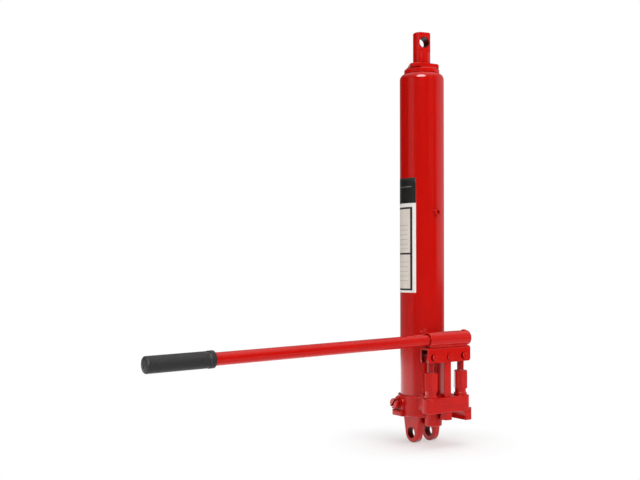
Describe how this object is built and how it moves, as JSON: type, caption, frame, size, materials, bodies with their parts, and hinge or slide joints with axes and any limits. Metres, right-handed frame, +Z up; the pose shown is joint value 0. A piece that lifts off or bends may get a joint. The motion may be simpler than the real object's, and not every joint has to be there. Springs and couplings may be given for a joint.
{
  "type": "hydraulic cylinder",
  "caption": "Long hydraulic ram with a clevis foot, a rocker-driven hand pump, a pull-out pump handle, a release valve and a cross-bored eye on its rod.",
  "frame": {"origin": "centre of the cross bore through the two ears of the base clevis", "axes": "+Z up the ram towards the rod's eye, +X along the clevis bore, away from the side that the pump handle points to; the pump stands on the -Y side"},
  "size_m": [0.5211, 0.1018, 0.615],
  "materials": {
    "red_paint": "gloss",
    "grip_rubber": "satin",
    "seal_rubber": "matt",
    "bare_steel": "ground",
    "grey_iron": "machined",
    "strainer_brass": "satin",
    "wear_plastic": "matt"
  },
  "bodies": {
    "root": {"base_block": "red_paint", "cylinder_foot_seal": "seal_rubber", "delivery_ball": "bare_steel", "delivery_plug": "red_paint", "delivery_spring": "bare_steel", "filler_bush": "red_paint", "filler_plug": "red_paint", "filler_washer": "seal_rubber", "fulcrum_clip": "red_paint", "fulcrum_nut": "red_paint", "fulcrum_pin": "red_paint", "fulcrum_post": "red_paint", "gland_nut": "red_paint", "plunger_seals": "seal_rubber", "pressure_cylinder": "bare_steel", "pump_cylinder_left": "red_paint", "pump_cylinder_right": "red_paint", "pump_seat_rings": "red_paint", "release_ball": "bare_steel", "release_gland": "red_paint", "relief_ball": "bare_steel", "relief_screw": "bare_steel", "relief_spring": "bare_steel", "reservoir_tube": "red_paint", "rod_guide": "grey_iron", "rod_seal": "seal_rubber", "rod_wiper": "seal_rubber", "suction_balls": "bare_steel", "suction_strainers": "strainer_brass", "tank_bottom_seal": "seal_rubber", "tank_top_seal": "seal_rubber"},
    "piston_seals": {"piston_cup_seal": "seal_rubber", "piston_wear_ring": "wear_plastic"},
    "ram": {"piston_rod": "red_paint", "piston_head": "grey_iron", "piston_nut": "bare_steel"},
    "rocker": {"rocker_channel": "red_paint", "handle_socket": "red_paint", "socket_welds": "red_paint", "handle_stop_rivet": "red_paint"},
    "left_plunger": {"plunger_left": "red_paint", "plunger_pin_left": "red_paint", "plunger_clip_left": "red_paint"},
    "right_plunger": {"plunger_right": "red_paint", "plunger_pin_right": "red_paint", "plunger_clip_right": "red_paint"},
    "handle": {"handle_tube": "red_paint", "handle_grip": "grip_rubber"},
    "release_seal": {"release_o_ring": "seal_rubber"},
    "release_valve": {"release_screw": "red_paint"}
  },
  "joints": [
    {"name": "ram_slide", "type": "slide", "parent": "root", "child": "piston_seals", "axis": [0, 0, 1], "range_m": [0, 0.48]},
    {"name": "ram_spin", "type": "hinge", "parent": "piston_seals", "child": "ram", "pos_m": [0, 0, 0.04], "axis": [0, 0, 1], "continuous": true},
    {"name": "rocker_hinge", "type": "hinge", "parent": "root", "child": "rocker", "pos_m": [0, -0.0525, 0.1178], "axis": [0, 1, 0], "range_deg": [-18, 18]},
    {"name": "left_plunger_slide", "type": "slide", "parent": "root", "child": "left_plunger", "axis": [0, 0, 1], "range_m": [-0.0096, 0.0096]},
    {"name": "right_plunger_slide", "type": "slide", "parent": "root", "child": "right_plunger", "axis": [0, 0, 1], "range_m": [-0.0096, 0.0096]},
    {"name": "handle_slide", "type": "slide", "parent": "rocker", "child": "handle", "axis": [-0.9999, 0, -0.0158], "range_m": [0, 0.069]},
    {"name": "release_travel", "type": "slide", "parent": "root", "child": "release_seal", "axis": [-1, 0, 0], "range_m": [0, 0.003]},
    {"name": "release_turn", "type": "hinge", "parent": "release_seal", "child": "release_valve", "pos_m": [-0.045, 0.009, 0.045], "axis": [-1, 0, 0], "range_deg": [-45, 780]}
  ],
  "couplings": [
    {"joint": "left_plunger_slide", "follows": "rocker_hinge", "m_per_rad": 0.029993},
    {"joint": "right_plunger_slide", "follows": "rocker_hinge", "m_per_rad": -0.029993},
    {"joint": "release_turn", "follows": "release_travel", "rad_per_m": 4188.8}
  ]
}
